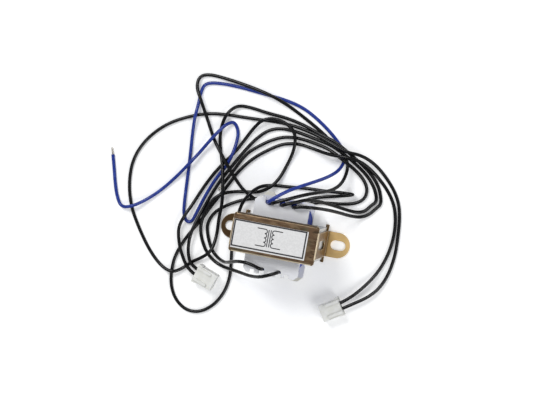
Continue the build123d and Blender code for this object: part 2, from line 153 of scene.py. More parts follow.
def paper_finish():
    paper = bpy.data.materials.new("floor_paper")
    paper.use_nodes = True
    tree = paper.node_tree
    shader = tree.nodes["Principled BSDF"]
    shader.inputs["Base Color"].default_value = FLOOR_COLOUR
    shader.inputs["Roughness"].default_value = FLOOR_ROUGHNESS
    shader.inputs["Specular IOR Level"].default_value = FLOOR_SHINE
    shader.inputs["Emission Color"].default_value = GLOW_COLOUR
    rays = tree.nodes.new("ShaderNodeLightPath")
    seen = rays.outputs["Is Camera Ray"]
    for label in ("Is Glossy Ray", "Is Transmission Ray"):
        either = tree.nodes.new("ShaderNodeMath")
        either.operation = "MAXIMUM"
        tree.links.new(seen, either.inputs[0])
        tree.links.new(rays.outputs[label], either.inputs[1])
        seen = either.outputs["Value"]
    glow = tree.nodes.new("ShaderNodeMath")
    glow.operation = "MULTIPLY"
    glow.inputs[1].default_value = FLOOR_GLOW
    tree.links.new(seen, glow.inputs[0])
    tree.links.new(glow.outputs["Value"], shader.inputs["Emission Strength"])
    return paper


floor_paper = paper_finish()
print(floor_paper.name, "glows", FLOOR_GLOW, "where it is seen")

# %% [markdown]
# ### The floor itself
# The paper could be a curved backdrop, but the view looks down and never meets its end. One large
# square at the height of the feet is enough.

# %% Floor
FLOOR_SIZE = 6.0


def make_floor():
    half = FLOOR_SIZE / 2
    corners = [(-half, -half, 0), (half, -half, 0), (half, half, 0), (-half, half, 0)]
    mesh = bpy.data.meshes.new("floor")
    mesh.from_pydata(corners, [], [(0, 1, 2, 3)])
    mesh.materials.append(floor_paper)
    floor = put("floor", mesh)


make_floor()
print("floor", FLOOR_SIZE, "m wide")

# %% [markdown]
# ## Two effects for the finishes
# Every surface here has a fine grain, and the pressed sheet has a painted highlight along its
# edges. Each material could hold its own copy of those nodes, but a node group is built once and
# then placed with other values. The groups give out only a normal and a mask, and the shader stays
# in each material.

# %% An empty group
def effect(name, inputs, outputs):
    """An empty group with named sockets, and its two end nodes."""
    tree = bpy.data.node_groups.new(name, "ShaderNodeTree")
    for label, kind, value in inputs:
        socket = tree.interface.new_socket(label, in_out="INPUT", socket_type=kind)
        socket.default_value = value
    for label, kind in outputs:
        tree.interface.new_socket(label, in_out="OUTPUT", socket_type=kind)
    print(name, "group with", len(inputs), "inputs")
    return tree, tree.nodes.new("NodeGroupInput"), tree.nodes.new("NodeGroupOutput")


NUMBER = "NodeSocketFloat"
VECTOR = "NodeSocketVector"
print("sockets of kind", NUMBER, "and", VECTOR)

# %% [markdown]
# ### Grain
# The grain is one noise, stretched along the way that the piece was rolled, drawn or moulded. It
# could be real relief in the mesh, but at some hundredths of a millimetre a bump does the same
# work. The bump starts from a bevelled normal, so that the solids' sharp edges catch a thin line of
# light as real ones do.

# %% Grain group
GRAIN_DETAIL = 4.0
GRAIN_FINENESS = 0.6
GRAIN_DEPTH = 0.2 * MM
GRAIN_SAMPLES = 4


def make_grain():
    tree, given, result = effect(
        "grain",
        [
            ("Scale", NUMBER, 500.0),
            ("Stretch", VECTOR, (1.0, 1.0, 1.0)),
            ("Relief", NUMBER, 0.2),
            ("Rounding", NUMBER, 0.1 * MM),
        ],
        [("Normal", VECTOR)],
    )
    place = tree.nodes.new("ShaderNodeTexCoord")
    stretch = tree.nodes.new("ShaderNodeVectorMath")
    stretch.operation = "MULTIPLY"
    noise = tree.nodes.new("ShaderNodeTexNoise")
    noise.inputs["Detail"].default_value = GRAIN_DETAIL
    noise.inputs["Roughness"].default_value = GRAIN_FINENESS
    edge = tree.nodes.new("ShaderNodeBevel")
    edge.samples = GRAIN_SAMPLES
    bump = tree.nodes.new("ShaderNodeBump")
    bump.inputs["Distance"].default_value = GRAIN_DEPTH
    tree.links.new(place.outputs["Object"], stretch.inputs[0])
    tree.links.new(given.outputs["Stretch"], stretch.inputs[1])
    tree.links.new(stretch.outputs["Vector"], noise.inputs["Vector"])
    tree.links.new(given.outputs["Scale"], noise.inputs["Scale"])
    tree.links.new(given.outputs["Rounding"], edge.inputs["Radius"])
    tree.links.new(given.outputs["Relief"], bump.inputs["Strength"])
    tree.links.new(noise.outputs["Fac"], bump.inputs["Height"])
    tree.links.new(edge.outputs["Normal"], bump.inputs["Normal"])
    tree.links.new(bump.outputs["Normal"], result.inputs["Normal"])
    return tree


GRAIN = make_grain()

# %% [markdown]
# ### Edges
# Sheet edges catch a thin line of light, and this mask puts a painted highlight there. A mask of
# them could be painted by hand, but the Bevel node already knows where they are: near an edge its
# rounded normal differs from the flat one, and how far the two point apart, made stronger by a
# gain, is the mask.

# %% Edge group
EDGE_SAMPLES = 6


def make_edges():
    tree, given, result = effect(
        "edges", [("Width", NUMBER, 0.3 * MM), ("Gain", NUMBER, 6.0)], [("Mask", NUMBER)]
    )
    rounded = tree.nodes.new("ShaderNodeBevel")
    rounded.samples = EDGE_SAMPLES
    flat = tree.nodes.new("ShaderNodeNewGeometry")
    alike = tree.nodes.new("ShaderNodeVectorMath")
    alike.operation = "DOT_PRODUCT"
    apart = tree.nodes.new("ShaderNodeMath")
    apart.operation = "SUBTRACT"
    apart.inputs[0].default_value = 1.0
    gain = tree.nodes.new("ShaderNodeMath")
    gain.operation = "MULTIPLY"
    gain.use_clamp = True
    tree.links.new(given.outputs["Width"], rounded.inputs["Radius"])
    tree.links.new(rounded.outputs["Normal"], alike.inputs[0])
    tree.links.new(flat.outputs["Normal"], alike.inputs[1])
    tree.links.new(alike.outputs["Value"], apart.inputs[1])
    tree.links.new(apart.outputs["Value"], gain.inputs[0])
    tree.links.new(given.outputs["Gain"], gain.inputs[1])
    tree.links.new(gain.outputs["Value"], result.inputs["Mask"])
    return tree


EDGES = make_edges()

# %% [markdown]
# ## The nodes of a material
# A material in Blender is a tree of nodes, with one shader in it from the start. Each node could be
# made, set and linked in lines of its own, but the finishes below need a few hundred of them. So a
# small class holds the tree, and makes and sets a node in one line.

# %% Nodes
class Nodes:
    """The nodes of one new material."""

    def __init__(self, name):
        self.material = bpy.data.materials.new(name)
        self.material.use_nodes = True
        self.tree = self.material.node_tree
        self.shader = self.tree.nodes["Principled BSDF"]

    def node(self, kind, **settings):
        made = self.tree.nodes.new(kind)
        for label, value in settings.items():
            setattr(made, label, value)
        return made

    def group(self, tree, **inputs):
        """One of the shared effects, placed with values of its own."""
        made = self.node("ShaderNodeGroup", node_tree=tree)
        for label, value in inputs.items():
            made.inputs[label].default_value = value
        return made

    def link(self, source, target):
        self.tree.links.new(source, target)


print("materials can place the groups", GRAIN.name, "and", EDGES.name)

# %% [markdown]
# ## Masks
# A finish is uneven, and a mask says where: a field of values from 0 to 1. It could be painted by
# hand, but a painted mask needs its own picture and a flat layout of the piece. A mask worked out
# from nodes fits any shape. The ones here come from noise, from a place along an axis and from the
# way that the surface faces.

# %% Masks from nodes
MAP_RANGE = ("From Min", "From Max", "To Min", "To Max")


class Masks(Nodes):
    """Nodes that say where on the surface something is."""

    def span(self, source, *limits):
        """The source's values between the first two limits, spread between the last two."""
        made = self.node("ShaderNodeMapRange", interpolation_type="SMOOTHSTEP")
        for label, value in zip(MAP_RANGE, limits):
            made.inputs[label].default_value = value
        self.link(source, made.inputs["Value"])
        return made.outputs["Result"]

    def above(self, source, low, high):
        return self.span(source, low, high, 0.0, 1.0)

    def below(self, source, low, high):
        return self.span(source, low, high, 1.0, 0.0)

    def noise(self, scale, detail, stretch=(1, 1, 1)):
        place = self.node("ShaderNodeTexCoord")
        wide = self.node("ShaderNodeVectorMath", operation="MULTIPLY")
        wide.inputs[1].default_value = stretch
        made = self.node("ShaderNodeTexNoise")
        made.inputs["Scale"].default_value = scale
        made.inputs["Detail"].default_value = detail
        self.link(place.outputs["Object"], wide.inputs[0])
        self.link(wide.outputs["Vector"], made.inputs["Vector"])
        return made.outputs["Fac"]

    def patches(self, scale, detail, low, high, stretch=(1, 1, 1)):
        return self.above(self.noise(scale, detail, stretch), low, high)

    def part_of(self, vector, axis):
        split = self.node("ShaderNodeSeparateXYZ")
        self.link(vector, split.inputs["Vector"])
        return split.outputs[axis]

    def place(self, axis):
        return self.part_of(self.node("ShaderNodeTexCoord").outputs["Object"], axis)

    def facing(self, axis):
        """How far the surface faces along an axis, from -1 to 1."""
        return self.part_of(self.node("ShaderNodeNewGeometry").outputs["Normal"], axis)

    def both(self, one, other):
        made = self.node("ShaderNodeMath", operation="MULTIPLY")
        self.link(one, made.inputs[0])
        self.link(other, made.inputs[1])
        return made.outputs["Value"]


print("a mask spreads a source by", ", ".join(MAP_RANGE))

# %% [markdown]
# ## A finish, built up tone by tone
# Each material below is a base colour with other tones laid over it through masks, much as a
# painter works. A long list of nodes and links for each would hide that, so a finish keeps the last
# colour laid, and each new tone goes over it. The grain group gives every finish its surface. The
# Mix node has several sockets of the same name, one for each kind of data, so its colours are taken
# by number.

# %% The class for finishes
MIX_UNDER, MIX_OVER = 6, 7
MIX_RESULT = 2
NOISE_LOW, NOISE_HIGH = 0.3, 0.7


class Finish(Masks):
    """A material with a grain on its surface, to which tones are added one by one."""

    def __init__(
        self, name, colour, scale, stretch=(1, 1, 1), relief=0.15, rounding=0.1 * MM, **sockets
    ):
        super().__init__(name)
        self.base = colour
        self.colour = None
        for label, value in sockets.items():
            self.shader.inputs[label.replace("_", " ")].default_value = value
        grain = self.group(GRAIN, Scale=scale, Stretch=stretch, Relief=relief, Rounding=rounding)
        self.link(grain.outputs["Normal"], self.shader.inputs["Normal"])

    def tone(self, colour, mask):
        """Another colour over the ones so far, where the mask is 1."""
        mix = self.node("ShaderNodeMix", data_type="RGBA")
        if self.colour is None:
            mix.inputs[MIX_UNDER].default_value = (*self.base, 1.0)
        else:
            self.link(self.colour, mix.inputs[MIX_UNDER])
        mix.inputs[MIX_OVER].default_value = (*colour, 1.0)
        self.link(mask, mix.inputs["Factor"])
        self.colour = mix.outputs[MIX_RESULT]
        self.link(self.colour, self.shader.inputs["Base Color"])

    def rough(self, scale, detail, low, high):
        """A roughness that wanders between low and high."""
        noise = self.noise(scale, detail)
        made = self.span(noise, NOISE_LOW, NOISE_HIGH, low, high)
        self.link(made, self.shader.inputs["Roughness"])


print("most of a noise lies between", NOISE_LOW, "and", NOISE_HIGH)

# %% [markdown]
# ## Dressing the solids
# The solids come with a plain material each. Their meshes could be copied and changed, but their
# shapes are right already, so only what is in their material slots is exchanged. A finish for a
# piece that is made further down is kept under a name until then.

# %% Dressing
def dress(finish, *names):
    """Puts a finish on the solids with these names."""
    for name in names:
        slots = nodes[name].data.materials
        for index in range(len(slots)):
            slots[index] = finish.material
    print(finish.material.name, "on", ", ".join(names) or "later pieces")
    return finish.material


print("solids to dress:", ", ".join(sorted(nodes)))

# %% [markdown]
# ## The bracket
# The bracket is steel sheet, zinc plated and then dipped in a yellow passivation, which comes out
# brown on the top plate and uneven. One metal colour would make it look like painted plastic. So
# the tones follow the place on the piece: the walls get a brown of their own, the left foot is
# darkened with painted shade, and the right one is brightened to gold with a painted reflection and
# is a little less of a mirror. The bends carry a painted highlight, with painted shade on the far
# ones, the edges a thin painted highlight, and the sheet's roll marks run along it.

# %% Bracket finish
PLATE_BROWN, WALL_BROWN = (0.17, 0.105, 0.062), (0.145, 0.075, 0.022)
PALE_STREAK, DARK_STREAK = (0.25, 0.17, 0.10), (0.085, 0.058, 0.036)
DULL_CLOUD = (0.14, 0.12, 0.075)
# Painted light on the feet: a painted golden reflection for the right foot, painted shade for the
# left.
RIGHT_FOOT_PAINTED_SHEEN, LEFT_FOOT_PAINTED_SHADE = (0.86, 0.59, 0.25), (0.10, 0.058, 0.026)
# A painted highlight for the bends, and painted shade laid over it on the bends that face far.
BEND_PAINTED_HIGHLIGHT, FAR_BEND_PAINTED_SHADE = (0.70, 0.59, 0.42), (0.085, 0.06, 0.038)
# A thin painted highlight along the bracket's sharp edges.
EDGE_PAINTED_HIGHLIGHT = (0.66, 0.54, 0.36)
WALL_TOP, PLATE_EDGE = 29.1 * MM, 30.6 * MM
STRAP_SIDE, FOOT_START = 18.3 * MM, 19.6 * MM
ROLL_MARKS = (0.22, 1, 1)
RIGHT_FOOT_METALLIC = 0.55


def bracket_zinc():
    finish = Finish(
        "bracket_zinc", PLATE_BROWN, scale=900, stretch=(0.25, 1, 1), rounding=0.15 * MM
    )
    finish.tone(PALE_STREAK, finish.patches(800, 5.0, low=0.46, high=0.6, stretch=ROLL_MARKS))
    finish.tone(DARK_STREAK, finish.patches(1300, 3.0, low=0.54, high=0.66, stretch=ROLL_MARKS))
    finish.tone(DULL_CLOUD, finish.patches(90, 2.0, low=0.55, high=0.7))
    finish.tone(WALL_BROWN, finish.below(finish.place("Z"), WALL_TOP, PLATE_EDGE))
    # Painted reflection brightens the right foot to gold, and painted shade darkens the left foot.
    finish.tone(RIGHT_FOOT_PAINTED_SHEEN, finish.above(finish.place("X"), STRAP_SIDE, FOOT_START))
    finish.tone(LEFT_FOOT_PAINTED_SHADE, finish.below(finish.place("X"), -FOOT_START, -STRAP_SIDE))
    upward = finish.facing("Z")
    bend = finish.both(finish.above(upward, 0.25, 0.45), finish.below(upward, 0.88, 0.96))
    # Painted highlight where the sheet bends over, then painted shade on the bends that face far.
    finish.tone(BEND_PAINTED_HIGHLIGHT, bend)
    finish.tone(FAR_BEND_PAINTED_SHADE, finish.both(bend, finish.above(finish.facing("Y"), 0.05, 0.2)))
    # Painted highlight along the edges, where the sheet catches a thin line of light.
    edges = finish.group(EDGES, Width=0.4 * MM, Gain=6.0)
    finish.tone(EDGE_PAINTED_HIGHLIGHT, edges.outputs["Mask"])
    finish.rough(300, 4.0, low=0.36, high=0.52)
    bare_metal = finish.span(finish.place("X"), STRAP_SIDE, FOOT_START, 1.0, RIGHT_FOOT_METALLIC)
    finish.link(bare_metal, finish.shader.inputs["Metallic"])
    return finish


dress(bracket_zinc(), "mounting_bracket")

# %% [markdown]
# ## The core
# The core is a stack of punched silicon steel sheets, pale on their cut edges and blue-grey on
# their coated faces, with a little varnish and rust. The sheets are separate solids, so their lines
# are real. The finish only has to vary from sheet to sheet, which a noise squeezed along the stack
# does, to stain a few spots, and to darken what faces along the stack, because there the coating
# shows.

# %% Core finish
CUT_EDGE, BRIGHT_EDGE = (0.70, 0.70, 0.69), (0.84, 0.84, 0.83)
COATED_FACE = (0.47, 0.48, 0.49)
RUST_SPOT = (0.48, 0.44, 0.39)
SHEET_LINES = (0.3, 6, 0.3)


def core_steel():
    finish = Finish(
        "core_steel", CUT_EDGE, scale=1500, stretch=(0.15, 1, 0.15), relief=0.2, Metallic=0.55
    )
    finish.tone(BRIGHT_EDGE, finish.patches(260, 3.0, low=0.42, high=0.58, stretch=SHEET_LINES))
    along_stack = finish.facing("Y")
    finish.tone(COATED_FACE, finish.above(along_stack, 0.8, 0.95))
    finish.tone(COATED_FACE, finish.below(along_stack, -0.95, -0.8))
    finish.tone(RUST_SPOT, finish.patches(120, 5.0, low=0.64, high=0.78))
    finish.rough(500, 3.0, low=0.42, high=0.62)
    return finish


dress(core_steel(), "e_laminations", "i_laminations")

# %% [markdown]
# ## The windings
# Inside the tape lie many turns of enamelled copper wire, and over the primary a yellow film. They
# hardly show, so the turns aren't modelled: a noise that is stretched round the coil and fine along
# its height draws them well enough for a view from below or through a gap.

# %% Copper and film
COPPER, BRIGHT_TURN = (0.62, 0.26, 0.12), (0.78, 0.42, 0.20)
ROUND_THE_COIL = (0.02, 0.02, 1)
FILM_YELLOW, FILM_SHADE = (0.80, 0.70, 0.36), (0.70, 0.58, 0.26)


def winding_copper():
    finish = Finish("winding_copper", COPPER, scale=700, relief=0.1, Metallic=1.0)
    finish.tone(BRIGHT_TURN, finish.patches(3000, 1.0, low=0.4, high=0.6, stretch=ROUND_THE_COIL))
    finish.rough(900, 2.0, low=0.2, high=0.35)
    return finish


def barrier_film():
    finish = Finish("barrier_film", FILM_YELLOW, scale=900, relief=0.06)
    finish.tone(FILM_SHADE, finish.patches(300, 3.0, low=0.45, high=0.65))
    finish.rough(500, 3.0, low=0.2, high=0.35)
    return finish


dress(winding_copper(), "primary_winding", "secondary_winding_a", "secondary_winding_b")
dress(barrier_film(), "barrier_tape")

# %% [markdown]
# ## The blue tape
# Blue polyester tape is wrapped round the coil and shows in the flange slots and at the right side.
# It is glossy, but seen along its face it would mirror the white paper and turn pale, and in the
# photograph it stays deep blue. So its mirror share is kept low, and the pull of the wrapping shows
# as faint upright streaks.

# %% Tape finish
TAPE_BLUE, TAPE_STREAK = (0.008, 0.034, 0.33), (0.015, 0.06, 0.43)
UPRIGHT = (1, 1, 0.3)


def blue_tape():
    finish = Finish("blue_tape", TAPE_BLUE, scale=900, relief=0.08, Specular_IOR_Level=0.03)
    finish.tone(TAPE_STREAK, finish.patches(260, 3.0, low=0.4, high=0.65, stretch=UPRIGHT))
    finish.rough(500, 3.0, low=0.4, high=0.55)
    return finish


dress(blue_tape(), "outer_tape")

# %% [markdown]
# ## The bobbin
# The bobbin is moulded in milky nylon that lets some light in. Glass would be too clear and plain
# white too hard, so most of the shader is white with light scattered below the surface, and a small
# share passes through. Where the two tabs stick out, the nylon is seen edge on and looks creamier.

# %% Bobbin finish
MILKY, PALE_CLOUD = (0.82, 0.825, 0.86), (0.88, 0.885, 0.905)
CREAM = (0.90, 0.87, 0.73)
TAB_START, TAB_END = 15.6 * MM, 16.6 * MM


def bobbin_nylon():
    finish = Finish(
        "bobbin_nylon", MILKY, scale=700, relief=0.05, rounding=0.2 * MM,
        Subsurface_Weight=0.35, Subsurface_Scale=2 * MM, Subsurface_Radius=(1.0, 1.0, 1.0),
        Transmission_Weight=0.12, IOR=1.53,
    )
    finish.tone(PALE_CLOUD, finish.patches(220, 4.0, low=0.4, high=0.65))
    finish.tone(CREAM, finish.above(finish.place("Y"), TAB_START, TAB_END))
    finish.tone(CREAM, finish.below(finish.place("Y"), -TAB_END, -TAB_START))
    finish.rough(400, 3.0, low=0.34, high=0.48)
    return finish


dress(bobbin_nylon(), "bobbin")

# %% [markdown]
# ## The crimp housings
# The two small housings at the lead ends are the same kind of nylon, but thicker and more opaque,
# with tinned contacts inside. Their ribs, lips and holes are in the solids. The finish adds a fine
# moulded texture and a softer edge.

# %% Housing and contact finishes
PLUG_WHITE, PLUG_CLOUD = (0.74, 0.74, 0.70), (0.81, 0.81, 0.78)


def plug_nylon():
    finish = Finish(
        "plug_nylon", PLUG_WHITE, scale=1200, relief=0.06, rounding=0.15 * MM,
        Subsurface_Weight=0.25, Subsurface_Scale=1.5 * MM, Subsurface_Radius=(1.0, 1.0, 0.9),
    )
    finish.tone(PLUG_CLOUD, finish.patches(350, 3.0, low=0.4, high=0.65))
    finish.rough(600, 3.0, low=0.36, high=0.5)
    return finish


def tinned(name, colour, dark):
    finish = Finish(name, colour, scale=2500, rounding=0.03 * MM, Metallic=1.0)
    finish.tone(dark, finish.patches(1800, 3.0, low=0.5, high=0.7))
    finish.rough(1500, 2.0, low=0.25, high=0.45)
    return finish


contact_tin = tinned("contact_tin", colour=(0.70, 0.70, 0.68), dark=(0.50, 0.50, 0.48))
dress(plug_nylon(), "left_plug_housing", "right_plug_housing")
dress(contact_tin, "left_plug_contacts", "right_plug_contacts")

# %% [markdown]
# ## The label's paper and ink
# The label is matt white paper, slightly grey and fibrous, with black print. Both are dull, so what
# makes them look like paper is the fine speckle in their tone.

# %% Paper and ink
PAPER, PALE_FIBRE, GREY_CLOUD = (0.70, 0.695, 0.69), (0.76, 0.755, 0.75), (0.67, 0.66, 0.64)
INK, WORN_INK = (0.02, 0.02, 0.024), (0.07, 0.07, 0.08)


def label_paper():
    finish = Finish(
        "label_paper", PAPER, scale=2600, relief=0.12, rounding=0.02 * MM, Specular_IOR_Level=0.3
    )
    finish.tone(PALE_FIBRE, finish.patches(1400, 5.0, low=0.4, high=0.62))
    finish.tone(GREY_CLOUD, finish.patches(90, 4.0, low=0.58, high=0.8))
    finish.rough(700, 3.0, low=0.55, high=0.75)
    return finish


def printing_ink():
    finish = Finish("label_ink", INK, scale=3000, relief=0.05, rounding=0.01 * MM)
    finish.tone(WORN_INK, finish.patches(2400, 4.0, low=0.52, high=0.75))
    finish.rough(900, 2.0, low=0.5, high=0.7)
    return finish


dress(label_paper(), "rating_label")
label_ink = dress(printing_ink())

# %% [markdown]
# ## The leads' insulation
# The leads are thin wire in satin vinyl, five black and one blue. Black plastic isn't black in a
# picture: it shows as the lamps mirrored in thin bright lines along each bend. A low, uneven
# roughness keeps those lines narrow, and a worn tone breaks them up.

# %% Vinyl and strand finishes
def vinyl(name, colour, worn):
    finish = Finish(
        name, colour, scale=1600, relief=0.1, rounding=0.05 * MM, IOR=1.5, Specular_IOR_Level=0.3
    )
    finish.tone(worn, finish.patches(420, 5.0, low=0.5, high=0.72))
    finish.rough(260, 4.0, low=0.2, high=0.34)
    return finish


black_vinyl = dress(
    vinyl("black_insulation", colour=(0.003, 0.003, 0.0035), worn=(0.008, 0.008, 0.009))
)
blue_vinyl = dress(
    vinyl("blue_insulation", colour=(0.016, 0.037, 0.25), worn=(0.032, 0.066, 0.33))
)
strand_metal = dress(
    tinned("tinned_strand", colour=(0.60, 0.57, 0.52), dark=(0.36, 0.29, 0.22))
)

# %% [markdown]
# ## Where a lead starts and ends
# Each lead stands up out of a flange slot, and four of them end in a cavity of a housing. Those
# ends have to meet the solids, so they are worked out from the same sizes as the solids were, in
# millimetres, and only the route between them was traced.

# %% Lead ends
FAR, NEAR = 1, -1
SLOT_Y = 13.95
LEAD_RISE = 3.7
CAVITY_PITCH = 2.5
CAVITY_HEIGHT = 2.875
LEAD_TAIL = 3.6
LEAD_DEPTH = 2.2
coil_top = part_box("outer_tape")[1].z / MM


def lead_exit(x, side, rise=LEAD_RISE):
    """Straight up out of a slot of the flange on the far or the near side."""
    y = side * SLOT_Y
    return [(x, y, coil_top), (x, y, coil_top + rise)]


def plug_entry(plug, side):
    """Straight into the cavity on one side of a housing at x, y, with its mouth to the heading."""
    x, y, heading = plug
    angle = math.radians(heading)
    ahead = Vector((math.cos(angle), math.sin(angle), 0))
    across = Vector((-ahead.y, ahead.x, 0)) * side * CAVITY_PITCH / 2
    middle = Vector((x, y, CAVITY_HEIGHT)) + across
    return [middle - ahead * LEAD_TAIL, middle + ahead * LEAD_DEPTH]


print("leads leave the coil at", round(coil_top, 2), "mm")

# %% [markdown]
# ## A round wire
# A tube could be swept as a mesh, ring by ring, but Blender's curves do that by themselves: a bevel
# gives a curve its round section. The line is a NURBS spline, which doesn't go through its points
# but cuts smoothly inside its corners, as limp wire does. The order is set after the points are in,
# or Blender would leave it at straight runs.

# %% The wire helpers
def round_wire(name, diameter, roundness, finish):
    """A curve with a round section and closed ends, and no line in it yet."""
    curve = bpy.data.curves.new(name, "CURVE")
    curve.dimensions = "3D"
    curve.bevel_depth = diameter / 2
    curve.bevel_resolution = roundness
    curve.use_fill_caps = True
    curve.materials.append(finish)
    return curve


def steer(curve, points):
    """One more smooth line in the curve, steered by points in metres."""
    spline = curve.splines.new("NURBS")
    spline.points.add(len(points) - 1)
    for control, point in zip(spline.points, points):
        control.co = (*point, 1.0)
    spline.order_u = 3
    spline.use_endpoint_u = True


print("wires for", black_vinyl.name, "and", blue_vinyl.name, "and", strand_metal.name)

# %% [markdown]
# ## Laying a lead
# In the solids a lead is straight runs and arcs, which looks like bent wire. Here the same points
# steer one smooth line, which replaces the solid.

# %% The cord helper
LEAD_DIAMETER = 1.5 * MM
LEAD_ROUNDNESS = 4
LEAD_STEPS = 8


def lay_lead(name, points, finish, length):
    curve = round_wire(name, LEAD_DIAMETER, LEAD_ROUNDNESS, finish)
    steer(curve, [Vector(point) * MM for point in points])
    curve.resolution_u = LEAD_STEPS
    piece = put(name + "_cord", curve)
    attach(piece, "root")
    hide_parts(name)
    print(name, "laid through", len(points), "points,", round(length / MM), "mm long")


print("leads are", round(LEAD_DIAMETER / MM, 2), "mm thick")

# %% [markdown]
# ## Bare strands
# The two mains leads end in bare copper, tinned and twisted. One silver pin would do from afar, but
# close up the twist shows. So six strands wind round a seventh, each a line on a helix, and their
# lengths differ a little, as snipped ends do.

# %% The strand helper
STRAND_COUNT = 7
STRAND_TURNS = 0.8
STRAND_LENGTH = 3.2 * MM
BUNDLE_DIAMETER = 0.9 * MM
STRAND_DIAMETER = BUNDLE_DIAMETER / 3
STRAND_ROUNDNESS = 2
STRAND_STEPS = 14
SNIP_SHARE = 0.06
SNIP_LENGTHS = 3


def twisted(strand, part):
    """The place of a strand at a part of its length, on a bundle that points up."""
    ring = 0.0 if strand == 0 else (BUNDLE_DIAMETER - STRAND_DIAMETER) / 2
    reach = STRAND_LENGTH * (1.0 - SNIP_SHARE * (strand % SNIP_LENGTHS))
    angle = math.tau * (strand / (STRAND_COUNT - 1) + STRAND_TURNS * part)
    return Vector((ring * math.cos(angle), ring * math.sin(angle), reach * part))


def bare_strands(name, node, points):
    """Strands twisted round one in the middle, at the end of a lead's points."""
    end = Vector(points[-1]) * MM
    ahead = (Vector(points[-1]) - Vector(points[-2])).normalized()
    turn = ahead.to_track_quat("Z", "Y")
    curve = round_wire(name, STRAND_DIAMETER, STRAND_ROUNDNESS, strand_metal)
    for strand in range(STRAND_COUNT):
        parts = [step / STRAND_STEPS for step in range(STRAND_STEPS + 1)]
        steer(curve, [end + turn @ twisted(strand, part) for part in parts])
    piece = put(name, curve)
    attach(piece, "root")
    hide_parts(node)
    print(name, "of", STRAND_COUNT, "strands")
    return piece


print("strands are", round(STRAND_DIAMETER / MM, 2), "mm thick")

# %% [markdown]
# ## The blue mains lead
# The blue lead rises highest out of the wide slot, swings over the far side and comes back in two
# long hairpins on the left. Its route, like the others, is a list of points in millimetres, chosen
# on the photograph and kept the same as in the solids.

# %% Blue lead
BLUE_RISE = 5.7
blue_lead_route = (
    (0.5, 19.5, 29), (5.8, 22.8, 26), (10.9, 25.7, 20), (15.4, 28.6, 12.5), (18.6, 31.8, 6),
    (19.8, 35.9, 1.4), (18.9, 40.4, 0.8), (13.1, 46.3, 0.8), (5.5, 51.8, 0.8), (-2.1, 55.9, 0.8),
    (-10.9, 57.9, 0.8), (-20.9, 58.8, 0.8), (-30.9, 59.9, 0.8), (-39.9, 60.1, 0.8),
    (-46.5, 59, 0.8), (-47.6, 54.4, 0.8), (-47.5, 49.5, 1.8), (-47.8, 44.3, 3), (-48.1, 37.9, 1.1),
    (-47.6, 30, 0.8), (-47.1, 22.1, 0.8), (-46.7, 13.3, 0.8), (-46.3, 5.8, 0.8), (-45.8, 1.3, 0.8),
    (-44.1, -2, 0.8), (-41.5, -1.7, 0.8), (-40.1, 2.9, 0.8), (-37.5, 11.3, 0.8), (-34, 19.7, 0.8),
    (-30.5, 25.4, 0.9), (-28.7, 29.9, 3.4), (-28, 34.8, 1.8), (-27.9, 40.6, 0.8),
    (-30.6, 44.8, 0.8), (-33.6, 43.1, 2.4), (-36.3, 39.4, 3.4), (-39, 35.4, 3.4), (-42.9, 29.3, 2),
    (-46.4, 23.7, 3.3), (-51.5, 16.9, 1.2), (-57.6, 9.4, 0.8), (-63.7, 3.8, 1.4), (-68.8, 0.2, 3.4),
    (-73.9, -1, 1.2), (-76.6, 3.2, 0.8), (-78.5, 8.9, 0.8), (-80.1, 15.3, 0.8), (-81.7, 21.1, 0.8),
)
blue_points = [*lead_exit(x=-6.0, side=FAR, rise=BLUE_RISE), *blue_lead_route]
blue_strands = bare_strands("blue_strands", "blue_lead_tip", blue_points)
lay_lead(
    "mains_lead_blue", blue_points, blue_vinyl,
    length=0.327,
)

# %% [markdown]
# ## The black mains lead
# The black lead shares the wide slot, keeps beside the blue one as far as the top left, and then
# turns back under the core's far side. Where it crosses another lead, two points lift it over, one
# on each side of the crossing, because a spline comes lower than its points.

# %% Black lead
black_lead_route = (
    (-0.5, 15.7, 27.6), (4.4, 17.9, 27.6), (9.5, 20.3, 25), (14.5, 22, 20), (18.4, 23.5, 14),
    (21.1, 26.6, 8.6), (22, 31.1, 4.6), (21.7, 35.4, 2.7), (19.5, 38.9, 2.8), (14.8, 41.7, 1.7),
    (8.4, 46.7, 0.8), (-5.3, 54.2, 1.4), (-12.9, 57.5, 3), (-20.6, 59.7, 3), (-29.3, 61.3, 1.4),
    (-37.7, 62.5, 0.8), (-45, 63.1, 0.8), (-49.4, 61.6, 0.8), (-49.7, 56.8, 2), (-46.9, 52.2, 3.3),
    (-42.8, 44.8, 2.8), (-40.5, 39.7, 0.8), (-38.1, 35.5, 1), (-35.5, 32.4, 2.7),
    (-30.8, 26.6, 3.3), (-24.6, 19.4, 2.8), (-20.5, 15.7, 2.8), (-12.1, 11.7, 2.2), (-6.4, 11, 0.8),
    (0.2, 11.6, 0.8), (9.9, 16.4, 0.8), (15.9, 17.3, 0.8), (22.4, 17.9, 0.8), (28.3, 19.4, 0.8),
    (31.5, 22.4, 0.8), (31.6, 26.5, 1.2), (29.3, 30.3, 2.6), (25, 33.7, 4.7), (19.6, 36.6, 4.9),
    (12.9, 40.1, 2.5), (5.4, 41.7, 1.2), (-1.5, 42.6, 0.8), (-7.6, 42.1, 0.8), (-13, 39.8, 0.8),
    (-18.1, 36.2, 0.8), (-22.4, 32.5, 0.8), (-24.9, 28.4, 0.8), (-27.1, 24, 0.8),
    (-29.2, 20.1, 0.8), (-30.9, 16.9, 0.8),
)
black_points = [*lead_exit(x=-4.3, side=FAR), *black_lead_route]
black_strands = bare_strands("black_strands", "black_lead_tip", black_points)
lay_lead(
    "mains_lead_black", black_points, black_vinyl,
    length=0.325,
)
